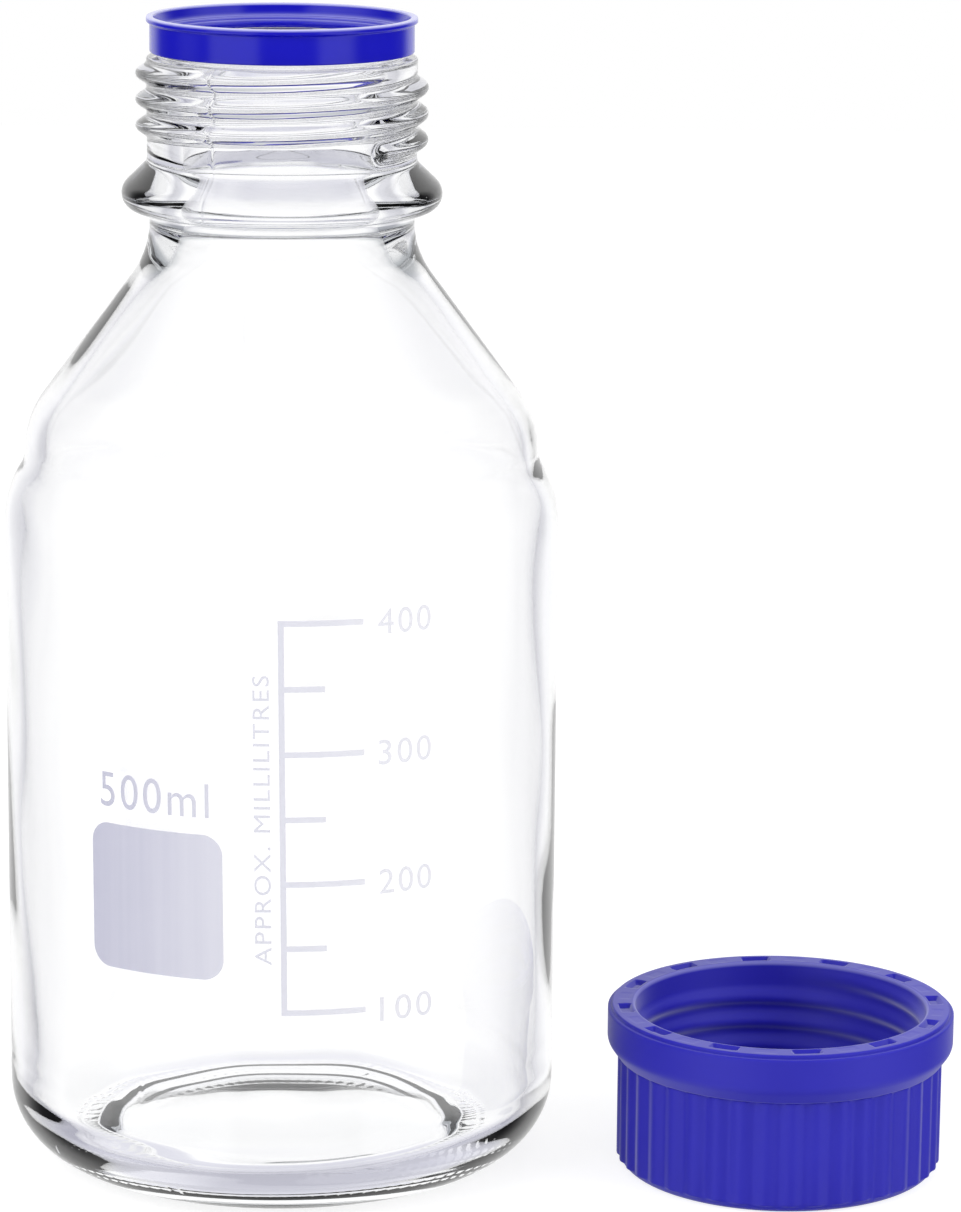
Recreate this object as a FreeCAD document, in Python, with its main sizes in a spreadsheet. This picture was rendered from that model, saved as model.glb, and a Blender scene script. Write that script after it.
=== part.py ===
import FreeCAD, Part
import math
import os

import Sketcher

# Laboratory media bottle for 500 ml with a GL45 neck, its pouring ring and its screw cap.
# Millimetres, +Z up. The origin is the middle of the foot ring, on the bench.
# The cap is off. It stands on its crown beside the bottle, with its mouth up.

doc = FreeCAD.newDocument("media_bottle")
sheet = doc.addObject("Spreadsheet::Sheet", "sizes")

SIZES = {
    # Body and foot of the glass
    "body_radius": 43.0,
    "glass_height": 176.0,
    "wall": 2.8,
    "heel_round": 12.0,
    "foot_width": 2.2,
    "foot_round": 0.8,
    "base_thickness": 4.0,
    "pushup_height": 3.6,
    "pushup_round": 120.0,
    "pushup_rim_height": 1.9,
    "pushup_rim_width": 3.2,
    "pushup_rim_round": 1.6,
    # Shoulder of the glass: a bulge over the body, a crease, an upright ledge and a cone
    "bulge_inset": 3.3,
    "bulge_height": 5.3,
    "bulge_round": 17.0,
    "crease_round": 0.9,
    "ledge_height": 6.1,
    "cone_foot_round": 15.0,
    "cone_angle": 36.4,
    "cone_top_round": 13.0,
    # Neck of the glass, measured down from the collar under the thread
    "neck_height": 6.2,
    "neck_inset": 0.4,
    "bore_radius": 15.0,
    "bore_foot_round": 7.0,
    "bore_lip_chamfer": 0.8,
    "collar_overhang": 3.9,
    "collar_rise": 0.7,
    "collar_edge_height": 3.0,
    "collar_slope_height": 3.8,
    "collar_under_round": 0.7,
    "collar_lower_round": 1.5,
    "collar_upper_round": 2.6,
    "collar_root_round": 1.4,
    "collar_gap": 2.9,
    "finish_radius": 20.7,
    # Rim of the glass, which the pouring ring snaps over
    "rim_height": 2.7,
    "rim_inset": 1.4,
    "groove_depth": 0.6,
    "groove_height": 1.0,
    "snap_slope": 0.4,
    # Thread of the neck, measured down from the top of the glass
    "thread_pitch": 4.0,
    "thread_turns": 3.0,
    "thread_drop": 3.7,
    "thread_height": 1.7,
    "thread_crest_width": 0.9,
    "thread_crest_drop": 0.45,
    "thread_shoulder_width": 1.9,
    "thread_bed_width": 2.8,
    "thread_bed_depth": 0.5,
    "thread_start_angle": 317.0,
    # Pouring ring
    "ring_height": 6.0,
    "ring_wall": 0.75,
    "ring_overhang": 0.5,
    "ring_flange_height": 0.8,
    "ring_flange_slope": 0.3,
    "ring_lip_width": 0.7,
    "ring_funnel_depth": 1.9,
    "ring_funnel_slope": 0.8,
    "ring_step_width": 0.8,
    "ring_step_height": 0.35,
    "ring_step_slope": 0.2,
    "ring_step_count": 2.0,
    "ring_throat_margin": 0.5,
    "ring_clearance": 0.15,
    # Screw cap, measured up from its crown
    "cap_offset": 78.5,
    "cap_setback": -10.5,
    "cap_height": 26.0,
    "cap_wall": 2.15,
    "crown_thickness": 2.6,
    "crown_round": 3.2,
    "crown_edge_reach": 12.8,
    "crown_rim_width": 5.5,
    "crown_dish_depth": 0.4,
    "cap_mouth_chamfer": 0.4,
    "cap_thread_clearance": 0.45,
    "cap_thread_depth": 1.8,
    "cap_thread_turns": 4.2,
    "cap_thread_start_angle": 20.0,
    "cap_ridge_height": 1.3,
    "cap_ridge_crest_width": 0.6,
    "cap_ridge_shoulder_width": 1.3,
    "cap_ridge_bed_width": 2.1,
    "flange_overhang": 2.15,
    "flange_height": 8.0,
    "flange_slope_height": 2.2,
    "flange_round": 0.8,
    "flange_step_width": 0.6,
    "flange_step_height": 0.6,
    "seal_lip_width": 0.8,
    "seal_lip_height": 2.0,
    "seal_lip_slope": 0.8,
    "rib_count": 40.0,
    "rib_round": 1.6,
    "rib_height": 0.5,
    "recess_count": 12.0,
    "recess_angle": 5.0,
    "recess_length": 4.4,
    "recess_width": 1.8,
    "recess_depth": 0.7,
    "recess_inset": 1.1,
    # How far a cut runs past the face that it opens
    "overrun": 1.0,
}

ZERO = 1e-9


def fill_sheet():
    """Writes each size to a row of the sheet, its name in A and its number in B."""
    for row, (alias, value) in enumerate(SIZES.items(), start=1):
        sheet.set(f"A{row}", alias)
        sheet.set(f"B{row}", str(value))
        sheet.setAlias(f"B{row}", alias)
    doc.recompute()


def total(*names):
    """Gives an expression over the sheet: the named cells added up, or taken off after a minus."""
    terms = [f"- sizes.{name[1:]}" if name.startswith("-") else f"+ sizes.{name}" for name in names]
    return " ".join(terms).removeprefix("+ ")


def value_of(expression):
    """Works out an expression over the sheet's cells."""
    result = sheet.evalExpression(expression)
    return float(getattr(result, "Value", result))


def bind(feature, **expressions):
    """Ties properties of a feature to expressions over the sheet."""
    for name, expression in expressions.items():
        feature.setExpression(name.replace("__", "."), expression)


def new_body(name):
    """Starts a body whose label names its file."""
    body = doc.addObject("PartDesign::Body", name)
    body.Label = name
    return body


def origin_feature(body, role):
    """Finds a plane or an axis of the body's own origin."""
    return next(feature for feature in body.Origin.OriginFeatures if feature.Role == role)


def new_feature(body, kind, name):
    """Adds a feature that keeps its seams, because a thread's ridge doesn't join into its neighbours."""
    feature = body.newObject(kind, name)
    feature.Refine = False
    return feature


def new_sketch(body, name, plane="XZ_Plane"):
    """Adds a sketch on one of the body's origin planes."""
    sketch = body.newObject("Sketcher::SketchObject", name)
    sketch.AttachmentSupport = (origin_feature(body, plane), "")
    sketch.MapMode = "FlatFace"
    return sketch


def fix_point(sketch, geometry, point, x, y):
    """Ties a point of the sketch to its two coordinates, or sets it on an axis where one is nought."""
    for kind, axis, expression in (("DistanceX", -2, x), ("DistanceY", -1, y)):
        size = value_of(expression)
        if abs(size) < ZERO:
            sketch.addConstraint(Sketcher.Constraint("PointOnObject", geometry, point, axis))
            continue
        index = sketch.addConstraint(Sketcher.Constraint(kind, -1, 1, geometry, point, size))
        sketch.setExpression(f"Constraints[{index}]", expression)


def fix_radius(sketch, geometry, expression):
    """Ties the radius of a circle or an arc."""
    constraint = Sketcher.Constraint("Radius", geometry, value_of(expression))
    index = sketch.addConstraint(constraint)
    sketch.setExpression(f"Constraints[{index}]", expression)


def corner_arc(before, corner, after, radius):
    """Gives the arc that rounds a corner, its two ends in the outline's order, and if it turns left."""
    back = (before - corner).normalize()
    forward = (after - corner).normalize()
    half_angle = back.getAngle(forward) / 2
    reach = radius / math.tan(half_angle)
    centre = corner + (back + forward).normalize() * (radius / math.sin(half_angle))
    start, end = corner + back * reach, corner + forward * reach
    turns_left = forward.cross(back).z > 0
    first, last = (start, end) if turns_left else (end, start)
    angles = [math.atan2(point.y - centre.y, point.x - centre.x) for point in (first, last)]
    circle = Part.Circle(centre, FreeCAD.Vector(0, 0, 1), radius)
    return Part.ArcOfCircle(circle, *angles), start, end, turns_left


def draw_outline(sketch, corners):
    """Draws a closed outline from its corners: an x, a y and, for a rounded one, a radius.

    A rounded corner is an arc tangent to both of its sides, with a point where they would meet.
    """
    points = [FreeCAD.Vector(value_of(corner[0]), value_of(corner[1]), 0) for corner in corners]
    count = len(corners)
    arcs = {}
    for index, corner in enumerate(corners):
        if len(corner) == 3:
            neighbours = points[index - 1], points[index], points[(index + 1) % count]
            arcs[index] = corner_arc(*neighbours, value_of(corner[2]))
    sides = []
    for index in range(count):
        following = (index + 1) % count
        start = arcs[index][2] if index in arcs else points[index]
        end = arcs[following][1] if following in arcs else points[following]
        sides.append(sketch.addGeometry(Part.LineSegment(start, end), False))
    for index, corner in enumerate(corners):
        before, after = sides[index - 1], sides[index]
        if index not in arcs:
            sketch.addConstraint(Sketcher.Constraint("Coincident", before, 2, after, 1))
            fix_point(sketch, after, 1, corner[0], corner[1])
            continue
        curve, _, _, turns_left = arcs[index]
        arc = sketch.addGeometry(curve, False)
        first, last = (1, 2) if turns_left else (2, 1)
        meeting = sketch.addGeometry(Part.Point(points[index]), True)
        sketch.addConstraint(Sketcher.Constraint("Tangent", before, 2, arc, first))
        sketch.addConstraint(Sketcher.Constraint("Tangent", arc, last, after, 1))
        sketch.addConstraint(Sketcher.Constraint("PointOnObject", meeting, 1, before))
        sketch.addConstraint(Sketcher.Constraint("PointOnObject", meeting, 1, after))
        fix_point(sketch, meeting, 1, corner[0], corner[1])
        fix_radius(sketch, arc, corner[2])


def draw_circle(sketch, x, y, radius):
    """Draws one circle."""
    centre = FreeCAD.Vector(value_of(x), value_of(y), 0)
    circle = sketch.addGeometry(Part.Circle(centre, FreeCAD.Vector(0, 0, 1), value_of(radius)), False)
    fix_point(sketch, circle, 3, x, y)
    fix_radius(sketch, circle, radius)


def turn(body, kind, name, corners):
    """Turns a closed outline of radii and heights about the body's upright axis."""
    sketch = new_sketch(body, f"{name}_outline")
    draw_outline(sketch, corners)
    feature = new_feature(body, kind, name)
    feature.Profile = sketch
    feature.ReferenceAxis = (sketch, ["V_Axis"])
    feature.Angle = 360
    return feature


def radial_sketch(body, name, azimuth, height):
    """Adds a sketch on the upright plane at an azimuth, with its middle on the body's axis."""
    sketch = new_sketch(body, name)
    turned = FreeCAD.Rotation(FreeCAD.Vector(0, 1, 0), value_of(azimuth))
    sketch.AttachmentOffset = FreeCAD.Placement(FreeCAD.Vector(), turned)
    bind(sketch, AttachmentOffset__Rotation__Angle=azimuth, AttachmentOffset__Base__y=height)
    return sketch


def ridge(body, name, section, azimuth, height, turns):
    """Winds a thread's ridge up the body's axis, right-handed, with a blunt nose at each end.

    The section is half of the ridge's, as radii and half widths from its bed to its crest. A nose
    is the same half section turned half way round the ridge's own middle line.
    """
    lower = [(radius, f"- ({half_width})") for radius, half_width in section]
    sketch = radial_sketch(body, f"{name}_section", azimuth, height)
    draw_outline(sketch, lower + section[::-1])
    winding = new_feature(body, "PartDesign::AdditiveHelix", name)
    winding.Profile = sketch
    winding.ReferenceAxis = (sketch, ["V_Axis"])
    winding.Mode = "pitch-turns-angle"
    bind(winding, Pitch=total("thread_pitch"), Turns=turns)
    bed, crest = section[0][0], section[-1][0]
    half_section = [(bed, "0"), (crest, "0"), *section[::-1]]
    for end, passed, backwards in (("foot", "0", False), ("top", turns, True)):
        reached = f"{height} + ({passed}) * sizes.thread_pitch"
        outline = radial_sketch(body, f"{name}_{end}_section", f"{azimuth} + 360 * ({passed})", reached)
        draw_outline(outline, half_section)
        nose = new_feature(body, "PartDesign::Revolution", f"{name}_{end}_nose")
        nose.Profile = outline
        nose.ReferenceAxis = (outline, ["H_Axis"])
        nose.Angle = 180
        nose.Reversed = backwards


def glass_levels():
    """The glass's heights from its top down: thread, collar, neck, cone, ledge and bulge."""
    cone_width = total("body_radius", "-bulge_inset", "-finish_radius", "neck_inset")
    thread_top = total("glass_height", "-thread_drop")
    levels = {"thread": f"{thread_top} - sizes.thread_turns * sizes.thread_pitch"}
    levels["collar_top"] = f"{levels['thread']} - sizes.collar_gap"
    levels["collar_high"] = f"{levels['collar_top']} - sizes.collar_slope_height"
    levels["collar_low"] = f"{levels['collar_high']} - sizes.collar_edge_height"
    levels["collar_foot"] = f"{levels['collar_low']} - sizes.collar_rise"
    levels["cone_top"] = f"{levels['collar_foot']} - sizes.neck_height"
    levels["cone_foot"] = f"{levels['cone_top']} - ({cone_width}) / tan(sizes.cone_angle)"
    levels["crease"] = f"{levels['cone_foot']} - sizes.ledge_height"
    levels["bulge"] = f"{levels['crease']} - sizes.bulge_height"
    return levels


def build_bottle():
    """The glass: a blown body with a pressed neck, all one piece."""
    body = new_body("media_bottle")
    level = glass_levels()
    foot_inner = total("body_radius", "-heel_round", "-foot_width")
    pushup_rim = total("body_radius", "-heel_round", "-foot_width", "-pushup_rim_width")
    ledge_radius = total("body_radius", "-bulge_inset")
    neck_radius = total("finish_radius", "-neck_inset")
    collar_radius = total("finish_radius", "collar_overhang")
    finish_top = total("glass_height", "-rim_height")
    rim_radius = total("finish_radius", "-rim_inset")
    groove_radius = total("finish_radius", "-rim_inset", "-groove_depth")
    turn(body, "PartDesign::Revolution", "glass", [
        ("0", total("pushup_height")),
        (f"({pushup_rim}) / 2", total("pushup_height"), total("pushup_round")),
        (pushup_rim, total("pushup_rim_height"), total("pushup_rim_round")),
        (foot_inner, "0", total("foot_round")),
        (total("body_radius"), "0", total("heel_round")),
        (total("body_radius"), level["bulge"], total("bulge_round")),
        (ledge_radius, level["crease"], total("crease_round")),
        (ledge_radius, level["cone_foot"], total("cone_foot_round")),
        (neck_radius, level["cone_top"], total("cone_top_round")),
        (neck_radius, level["collar_foot"], total("collar_under_round")),
        (collar_radius, level["collar_low"], total("collar_lower_round")),
        (collar_radius, level["collar_high"], total("collar_upper_round")),
        (total("finish_radius"), level["collar_top"], total("collar_root_round")),
        (total("finish_radius"), finish_top),
        (groove_radius, finish_top),
        (groove_radius, total("glass_height", "-rim_height", "groove_height")),
        (rim_radius, total("glass_height", "-rim_height", "groove_height", "snap_slope")),
        (rim_radius, total("glass_height")),
        ("0", total("glass_height")),
    ])
    crest_radius = total("finish_radius", "thread_height")
    section = [
        (total("finish_radius", "-thread_bed_depth"), "sizes.thread_bed_width / 2"),
        (f"{crest_radius} - sizes.thread_crest_drop", "sizes.thread_shoulder_width / 2"),
        (crest_radius, "sizes.thread_crest_width / 2"),
    ]
    turns = total("thread_turns")
    ridge(body, "neck_thread", section, total("thread_start_angle"), level["thread"], turns)
    hollow_bottle(body, level, foot_inner, pushup_rim)
    return body


def hollow_bottle(body, level, foot_inner, pushup_rim):
    """The inside of the glass, which follows the outside a wall away up to the foot of the bore."""
    bulge_drop = "sizes.wall * tan(atan(sizes.bulge_inset / sizes.bulge_height) / 2)"
    cone_drop = "sizes.wall * tan(sizes.cone_angle / 2)"
    inner_cone_foot = f"{level['cone_foot']} - {cone_drop}"
    to_bore = total("body_radius", "-bulge_inset", "-wall", "-bore_radius")
    bore_foot = f"{inner_cone_foot} + ({to_bore}) / tan(sizes.cone_angle)"
    inner_body = total("body_radius", "-wall")
    inner_ledge = total("body_radius", "-bulge_inset", "-wall")
    turn(body, "PartDesign::Groove", "hollow", [
        ("0", total("base_thickness", "pushup_height")),
        (f"({pushup_rim}) / 2", total("base_thickness", "pushup_height"), total("pushup_round")),
        (pushup_rim, total("base_thickness", "pushup_rim_height"), total("pushup_rim_round")),
        (foot_inner, total("base_thickness"), total("foot_round")),
        (inner_body, total("base_thickness"), total("heel_round", "-wall")),
        (inner_body, f"{level['bulge']} - {bulge_drop}", total("bulge_round", "-wall")),
        (inner_ledge, f"{level['crease']} - {bulge_drop}", total("crease_round", "wall")),
        (inner_ledge, inner_cone_foot, total("cone_foot_round", "-wall")),
        (total("bore_radius"), bore_foot, total("bore_foot_round")),
        (total("bore_radius"), total("glass_height", "-bore_lip_chamfer")),
        (total("bore_radius", "bore_lip_chamfer", "overrun"), total("glass_height", "overrun")),
        ("0", total("glass_height", "overrun")),
    ])


def build_ring():
    """The pouring ring: it sits on the rim of the glass, and its skirt snaps into the rim's groove."""
    body = new_body("pouring_ring")
    foot = total("glass_height", "-rim_height", "ring_clearance")
    top = f"{foot} + sizes.ring_height"
    bore = total("finish_radius", "-rim_inset", "ring_clearance")
    snap = total("finish_radius", "-rim_inset", "-groove_depth", "ring_clearance")
    snap_top = total("glass_height", "-rim_height", "groove_height", "snap_slope", "-ring_clearance")
    skirt = f"{bore} + sizes.ring_wall"
    flange = f"{skirt} + sizes.ring_overhang"
    lip = f"{flange} - sizes.ring_lip_width"
    throat = total("bore_radius", "bore_lip_chamfer", "ring_throat_margin")
    step_radius = f"{lip} - sizes.ring_funnel_slope"
    step_height = f"{top} - sizes.ring_funnel_depth"
    steps = []
    for _ in range(round(SIZES["ring_step_count"])):
        steps.append((step_radius, step_height))
        step_radius = f"{step_radius} - sizes.ring_step_width"
        steps.append((step_radius, step_height))
        step_radius = f"{step_radius} - sizes.ring_step_slope"
        step_height = f"{step_height} - sizes.ring_step_height"
    turn(body, "PartDesign::Revolution", "ring", [
        (snap, foot),
        (skirt, foot),
        (skirt, f"{top} - sizes.ring_flange_height - sizes.ring_flange_slope"),
        (flange, f"{top} - sizes.ring_flange_height"),
        (flange, top),
        (lip, top),
        *steps,
        (step_radius, step_height),
        (throat, step_height),
        (throat, total("glass_height")),
        (bore, total("glass_height")),
        (bore, snap_top),
        (snap, f"{snap_top} - sizes.snap_slope"),
    ])
    return body


def build_cap():
    """The screw cap: a ribbed wall under a plain flange, with recesses round the mouth."""
    body = new_body("screw_cap")
    mouth = total("finish_radius", "thread_height", "cap_thread_clearance")
    wall = f"{mouth} + sizes.cap_wall"
    dish = f"{wall} - sizes.crown_rim_width"
    flange = f"{wall} + sizes.flange_overhang"
    flange_foot = total("cap_height", "-flange_height")
    flange_edge = f"{flange_foot} + sizes.flange_slope_height"
    step = f"{flange} - sizes.flange_step_width"
    turn(body, "PartDesign::Revolution", "shell", [
        ("0", total("crown_dish_depth")),
        (dish, total("crown_dish_depth")),
        (f"{dish} + sizes.crown_dish_depth", "0"),
        (wall, "0"),
        (wall, flange_foot),
        (flange, flange_edge, total("flange_round")),
        (flange, total("cap_height", "-flange_step_height")),
        (step, total("cap_height", "-flange_step_height")),
        (step, total("cap_height")),
        ("0", total("cap_height")),
    ])
    add_ribs(body, wall, flange_edge)
    ring_bore = total("finish_radius", "-rim_inset", "ring_clearance")
    ring_lip = f"{ring_bore} + sizes.ring_wall + sizes.ring_overhang - sizes.ring_lip_width"
    seal = f"{ring_lip} - sizes.cap_thread_clearance"
    seal_top = total("crown_thickness", "seal_lip_height")
    turn(body, "PartDesign::Groove", "mouth", [
        ("0", total("crown_thickness")),
        (f"{seal} - sizes.seal_lip_width - sizes.seal_lip_slope", total("crown_thickness")),
        (f"{seal} - sizes.seal_lip_width", seal_top),
        (seal, seal_top),
        (seal, total("crown_thickness")),
        (mouth, total("crown_thickness")),
        (mouth, total("cap_height", "-cap_mouth_chamfer")),
        (f"{mouth} + sizes.cap_mouth_chamfer + sizes.overrun", total("cap_height", "overrun")),
        ("0", total("cap_height", "overrun")),
    ])
    crest = f"{mouth} - sizes.cap_ridge_height"
    section = [
        (f"{mouth} + sizes.thread_bed_depth", "sizes.cap_ridge_bed_width / 2"),
        (f"{crest} + sizes.thread_crest_drop", "sizes.cap_ridge_shoulder_width / 2"),
        (crest, "sizes.cap_ridge_crest_width / 2"),
    ]
    lowest = "sizes.cap_height - sizes.cap_thread_depth - sizes.cap_thread_turns * sizes.thread_pitch"
    ridge(body, "cap_thread", section, total("cap_thread_start_angle"), lowest, total("cap_thread_turns"))
    cut_recesses(body, step)
    bind(body, Placement__Base__x=total("cap_offset"), Placement__Base__y=total("cap_setback"))
    return body


def repeat_round(body, name, original, count):
    """Repeats a feature round the body's upright axis."""
    pattern = new_feature(body, "PartDesign::PolarPattern", name)
    pattern.Originals = [original]
    pattern.Axis = (origin_feature(body, "Z_Axis"), [""])
    pattern.Angle = 360
    bind(pattern, Occurrences=count)
    body.Tip = pattern


def add_ribs(body, wall, top):
    """Grip ribs up to the flange. The rounding of the crown's edge cuts across their lower ends."""
    crest = f"{wall} + sizes.rib_height"
    reach = total("crown_edge_reach")
    sketch = new_sketch(body, "rib_section", "XY_Plane")
    draw_circle(sketch, f"{crest} - sizes.rib_round", "0", total("rib_round"))
    rib = new_feature(body, "PartDesign::Pad", "rib")
    rib.Profile = sketch
    bind(rib, Length=top)
    repeat_round(body, "ribs", rib, total("rib_count"))
    turn(body, "PartDesign::Groove", "crown_edge", [
        (crest, "0", total("crown_round")),
        (f"{crest} - {reach}", "- sizes.overrun"),
        (f"{crest} + sizes.overrun", "- sizes.overrun"),
        (f"{crest} + sizes.overrun", reach),
    ])


def cut_recesses(body, face_radius):
    """Shallow recesses round the flat face of the mouth."""
    outer = f"{face_radius} - sizes.recess_inset"
    inner = f"{outer} - sizes.recess_width"
    half = "sizes.recess_length / 2"
    sketch = new_sketch(body, "recess_outline", "XY_Plane")
    draw_outline(sketch, [(inner, f"- {half}"), (outer, f"- {half}"), (outer, half), (inner, half)])
    sketch.AttachmentOffset = FreeCAD.Placement(
        FreeCAD.Vector(), FreeCAD.Rotation(FreeCAD.Vector(0, 0, 1), value_of(total("recess_angle")))
    )
    bind(
        sketch,
        AttachmentOffset__Base__z=total("cap_height"),
        AttachmentOffset__Rotation__Angle=total("recess_angle"),
    )
    recess = new_feature(body, "PartDesign::Pocket", "recess")
    recess.Profile = sketch
    bind(recess, Length=total("recess_depth"))
    repeat_round(body, "recesses", recess, total("recess_count"))


def check_model(bodies):
    """Stops if an object failed to compute or a sub-part has no sound solid."""
    for item in doc.Objects:
        if "Invalid" in item.State or "Error" in item.State:
            raise RuntimeError(f"{item.Label} failed: {item.State}")
    for body in bodies:
        shape = body.Shape
        if shape.isNull() or not shape.isValid() or len(shape.Solids) != 1:
            raise RuntimeError(f"{body.Label} is not one sound solid")


def main():
    fill_sheet()
    bodies = [build_bottle(), build_ring(), build_cap()]
    doc.recompute()
    check_model(bodies)
    os.makedirs("parts", exist_ok=True)
    for body in bodies:
        body.Shape.exportStep(f"parts/{body.Label}.step")
        print(body.Label, round(body.Shape.Volume), "cubic millimetres")


main()
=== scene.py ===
import logging
import math
from dataclasses import dataclass
from enum import Enum
from typing import Any

import bpy
import numpy as np
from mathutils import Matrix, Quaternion, Vector


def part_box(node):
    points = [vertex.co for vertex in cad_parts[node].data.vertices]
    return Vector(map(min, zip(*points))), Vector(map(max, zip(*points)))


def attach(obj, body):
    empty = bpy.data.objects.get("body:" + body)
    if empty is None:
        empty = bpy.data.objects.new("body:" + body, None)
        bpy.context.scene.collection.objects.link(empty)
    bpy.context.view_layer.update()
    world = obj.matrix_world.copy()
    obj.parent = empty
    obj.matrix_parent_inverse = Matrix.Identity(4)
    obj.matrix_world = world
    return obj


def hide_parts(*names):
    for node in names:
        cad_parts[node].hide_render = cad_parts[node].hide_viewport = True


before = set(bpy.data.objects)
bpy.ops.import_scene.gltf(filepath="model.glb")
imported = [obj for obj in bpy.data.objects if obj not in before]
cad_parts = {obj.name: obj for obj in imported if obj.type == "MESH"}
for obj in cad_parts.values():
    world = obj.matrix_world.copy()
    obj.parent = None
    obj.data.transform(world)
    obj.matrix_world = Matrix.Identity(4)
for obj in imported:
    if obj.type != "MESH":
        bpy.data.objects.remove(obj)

# A 500 ml laboratory bottle with its pouring ring on, and its screw cap set down beside it.
# Sizes are millimetres, as on a drawing, and a mesh is scaled to metres as it is made.

LOG = logging.getLogger("media_bottle")

MM = 0.001
FULL_TURN = 2.0 * math.pi
# A share of a turn that keeps a run-out of no length from dividing by nought.
TINY = 0.001


def linear(colour: str) -> tuple[float, float, float, float]:
    """Turns an sRGB hex colour to linear light.

    Args:
        colour: The colour as "#RRGGBB".

    Returns:
        Red, green, blue and an alpha of one.
    """
    channels = [int(colour[start:start + 2], 16) / 255.0 for start in (1, 3, 5)]
    curved = [c / 12.92 if c <= 0.04045 else ((c + 0.055) / 1.055) ** 2.4 for c in channels]
    return curved[0], curved[1], curved[2], 1.0


def add_node(tree: bpy.types.NodeTree, kind: str, inputs: dict[Any, Any] | None = None,
             **settings: Any) -> bpy.types.Node:
    """Adds a node with its settings, its numbers and its links.

    Args:
        tree: The node tree that gets the node.
        kind: The node's type, such as ShaderNodeBump.
        inputs: A number, a colour or another node's output for each input, by name or place.
        settings: The node's own properties.

    Returns:
        The new node.
    """
    node = tree.nodes.new(kind)
    for name, setting in settings.items():
        setattr(node, name, setting)
    for socket, given in (inputs or {}).items():
        if isinstance(given, bpy.types.NodeSocket):
            tree.links.new(given, node.inputs[socket])
        else:
            node.inputs[socket].default_value = given
    return node


def start_material(name: str) -> tuple[bpy.types.Material, bpy.types.NodeTree]:
    """Makes a material with no nodes yet.

    Args:
        name: The material's name.

    Returns:
        The material and its node tree.
    """
    material = bpy.data.materials.new(name)
    material.use_nodes = True
    material.node_tree.nodes.clear()
    return material, material.node_tree


def add_noise(tree: bpy.types.NodeTree, place: bpy.types.NodeSocket, size: float,
              detail: float = 2.0) -> bpy.types.NodeSocket:
    """Adds an even noise.

    Args:
        tree: The material's nodes.
        place: The place on the object.
        size: The noise's size in millimetres.
        detail: How many finer layers it has.

    Returns:
        The noise's strength.
    """
    inputs = {"Vector": place, "Scale": 1.0 / (size * MM), "Detail": detail}
    return add_node(tree, "ShaderNodeTexNoise", inputs).outputs["Fac"]


def add_bump(tree: bpy.types.NodeTree, height: bpy.types.NodeSocket, strength: float,
             distance: float) -> bpy.types.NodeSocket:
    """Adds a bump from a noise.

    Args:
        tree: The material's nodes.
        height: The noise's strength.
        strength: The bump's share, up to one.
        distance: The bump's height in millimetres.

    Returns:
        The bumped direction.
    """
    inputs = {"Height": height, "Strength": strength, "Distance": distance * MM}
    return add_node(tree, "ShaderNodeBump", inputs).outputs["Normal"]


def mix_colours(tree: bpy.types.NodeTree, share: Any, first: Any, second: Any,
                blend: str = "MIX") -> bpy.types.NodeSocket:
    """Mixes two colours. The node takes the share as input 0 and the colours as inputs 6 and 7.

    Args:
        tree: The nodes that get it.
        share: How much of the second there is, as a number or a socket.
        first: The first colour, or its socket.
        second: The second colour, or its socket.
        blend: How they are mixed.

    Returns:
        The mixed colour.
    """
    inputs = {0: share, 6: first, 7: second}
    return add_node(tree, "ShaderNodeMix", inputs, data_type="RGBA", blend_type=blend).outputs[2]


def add_ramp(tree: bpy.types.NodeTree, share: bpy.types.NodeSocket, stops: tuple[tuple[float, str], ...],
             blend: str = "LINEAR") -> bpy.types.NodeSocket:
    """Adds a ramp of colours.

    Args:
        tree: The nodes that get it.
        share: What the colour follows, from 0 to 1.
        stops: A place and a colour for each stop.
        blend: How one stop's colour goes over to the next one's.

    Returns:
        The colour.
    """
    node = add_node(tree, "ShaderNodeValToRGB", {"Fac": share})
    node.color_ramp.interpolation = blend
    steps = node.color_ramp.elements
    for place, colour in stops[1:-1]:
        steps.new(place).color = linear(colour)
    for step, (place, colour) in zip((steps[0], steps[-1]), (stops[0], stops[-1])):
        step.position, step.color = place, linear(colour)
    return node.outputs["Color"]


def smooth_step(edge_low: float, edge_high: float, values: np.ndarray) -> np.ndarray:
    """Rises from 0 to 1 between two edges, as 3t² - 2t³ of the share t of the way.

    Args:
        edge_low: Where the rise starts.
        edge_high: Where it ends.
        values: Any array.

    Returns:
        The rise at each value.
    """
    share = np.clip((values - edge_low) / (edge_high - edge_low), 0.0, 1.0)
    return share * share * (3.0 - 2.0 * share)


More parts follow.
